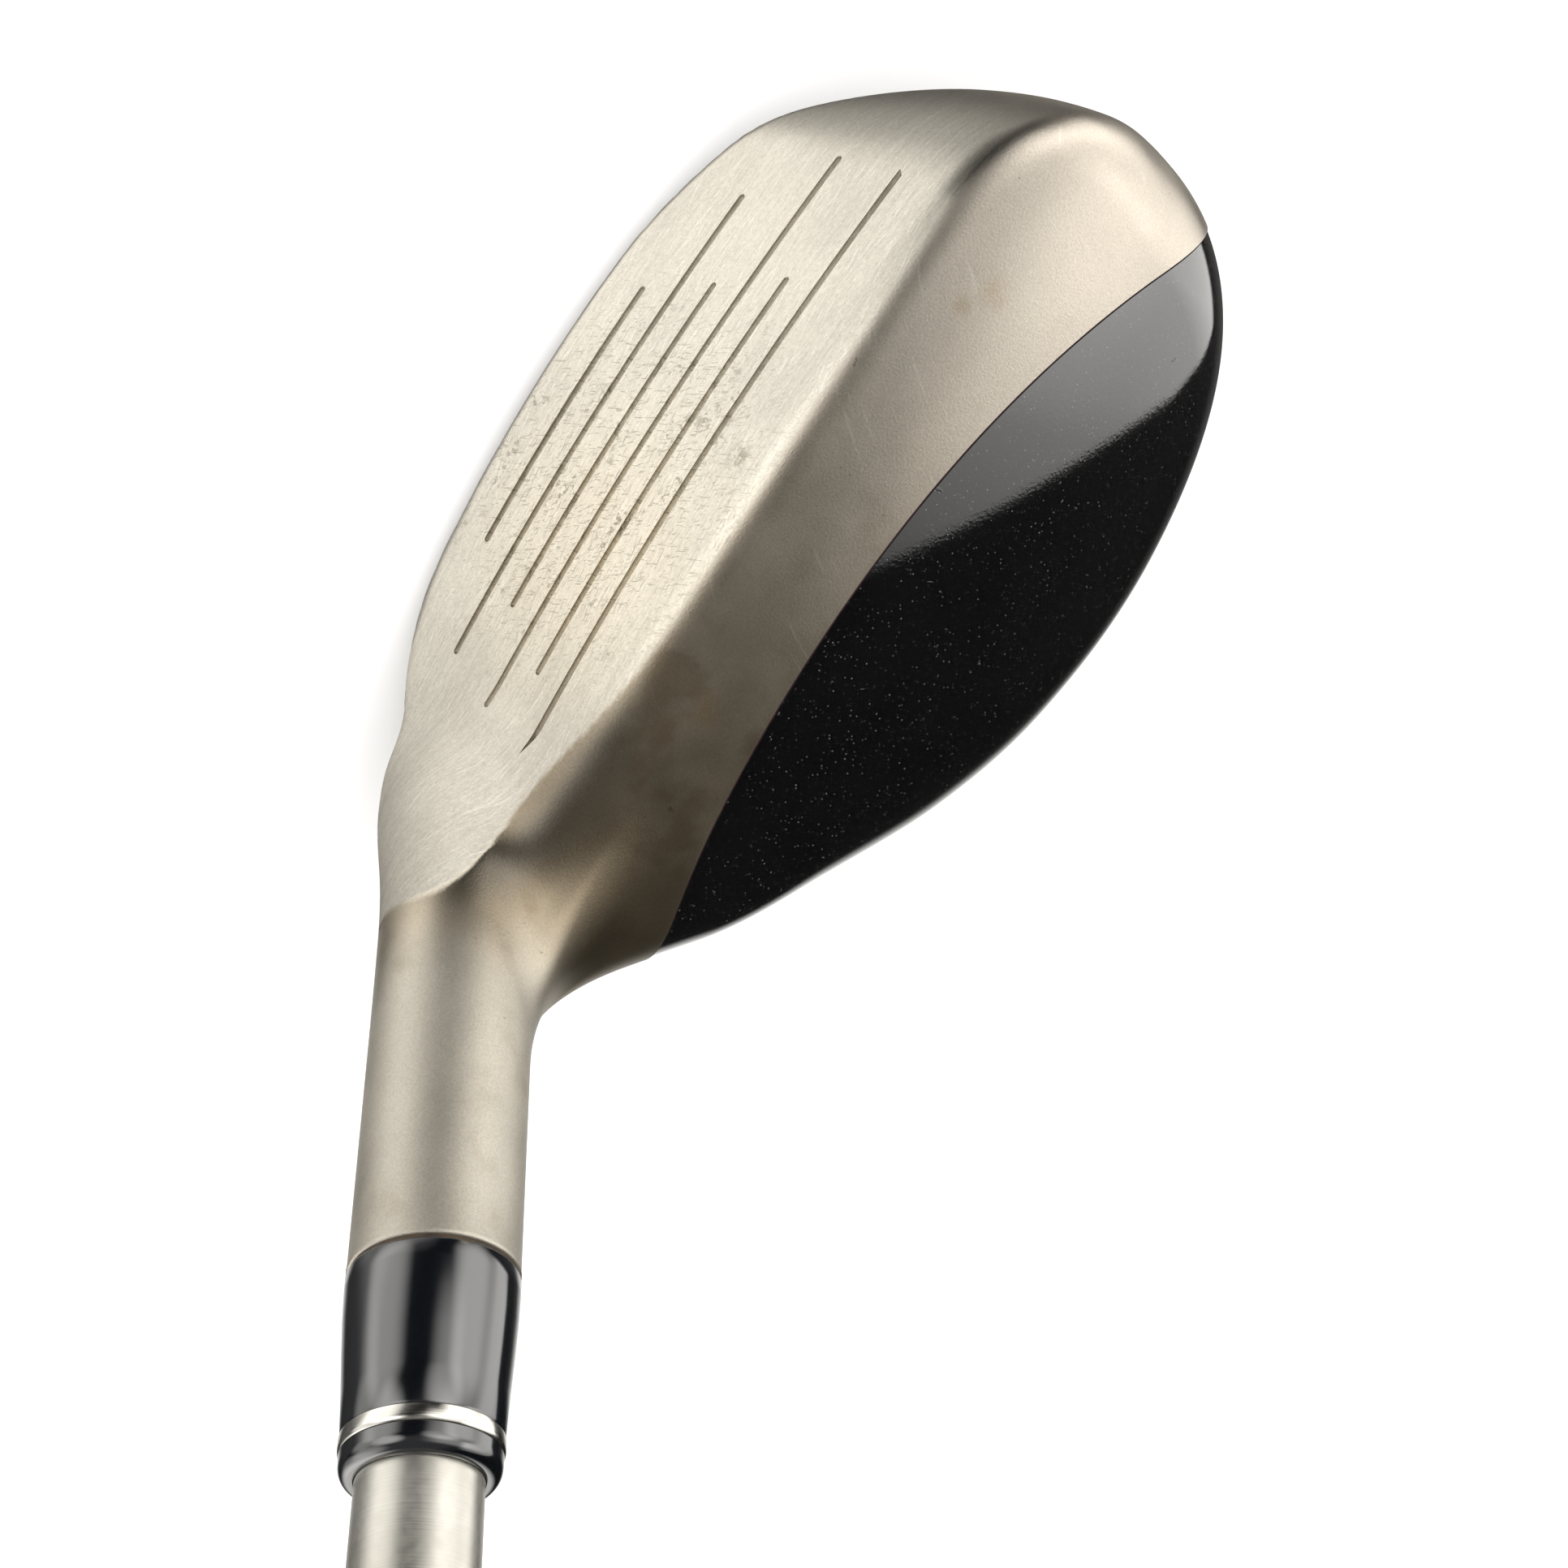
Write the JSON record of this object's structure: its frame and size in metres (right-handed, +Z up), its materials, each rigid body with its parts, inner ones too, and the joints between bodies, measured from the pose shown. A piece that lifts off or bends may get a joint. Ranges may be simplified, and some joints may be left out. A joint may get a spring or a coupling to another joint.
{
  "type": "hybrid golf club",
  "caption": "Hybrid golf club: rounded hollow head with a lofted grooved face, silver front and black rear crown, on a stepped steel shaft with a rubber grip.",
  "frame": {"origin": "where the shaft axis meets the ground plane, with the club at address and its sole on z = 0", "axes": "+Z up; +X toward the heel and the player, so the shaft leans toward +X; -Y toward the target, so the face looks along -Y"},
  "size_m": [0.5939, 0.0676, 0.8808],
  "materials": {
    "body_steel": "satin bead-blasted, lightly stained",
    "face_steel": "brushed along the score lines",
    "black_paint": "gloss black with a fine silver flake under clear coat",
    "seam_adhesive": "matte",
    "weight_steel": "turned",
    "seal_rubber": "matte",
    "hot_melt": "waxy",
    "epoxy": "cured",
    "bond_line": "matte",
    "ferrule_black": "polished",
    "ferrule_silver": "polished",
    "shaft_plate": "satin nickel-chrome plate",
    "plug_rubber": "matte",
    "pin_brass": "machined",
    "band_foil": "satin",
    "tape_paper": "crepe",
    "grip_rubber": "moulded, matte"
  },
  "bodies": {
    "root": {"head_body": "body_steel", "face_plate": "face_steel", "rear_crown": "black_paint", "crown_adhesive": "seam_adhesive", "sole_weight": "weight_steel", "sole_weight_seal": "seal_rubber", "rattle_stop": "hot_melt", "hosel_adhesive": "epoxy", "ferrule_bond": "bond_line", "ferrule_body": "ferrule_black", "ferrule_ring": "ferrule_silver", "ferrule_collar": "ferrule_black", "shaft": "shaft_plate", "tip_plug": "plug_rubber", "tip_weight": "pin_brass", "shaft_band": "band_foil", "grip_tape": "tape_paper", "grip_sleeve": "grip_rubber", "grip_cap": "grip_rubber"}
  },
  "joints": []
}
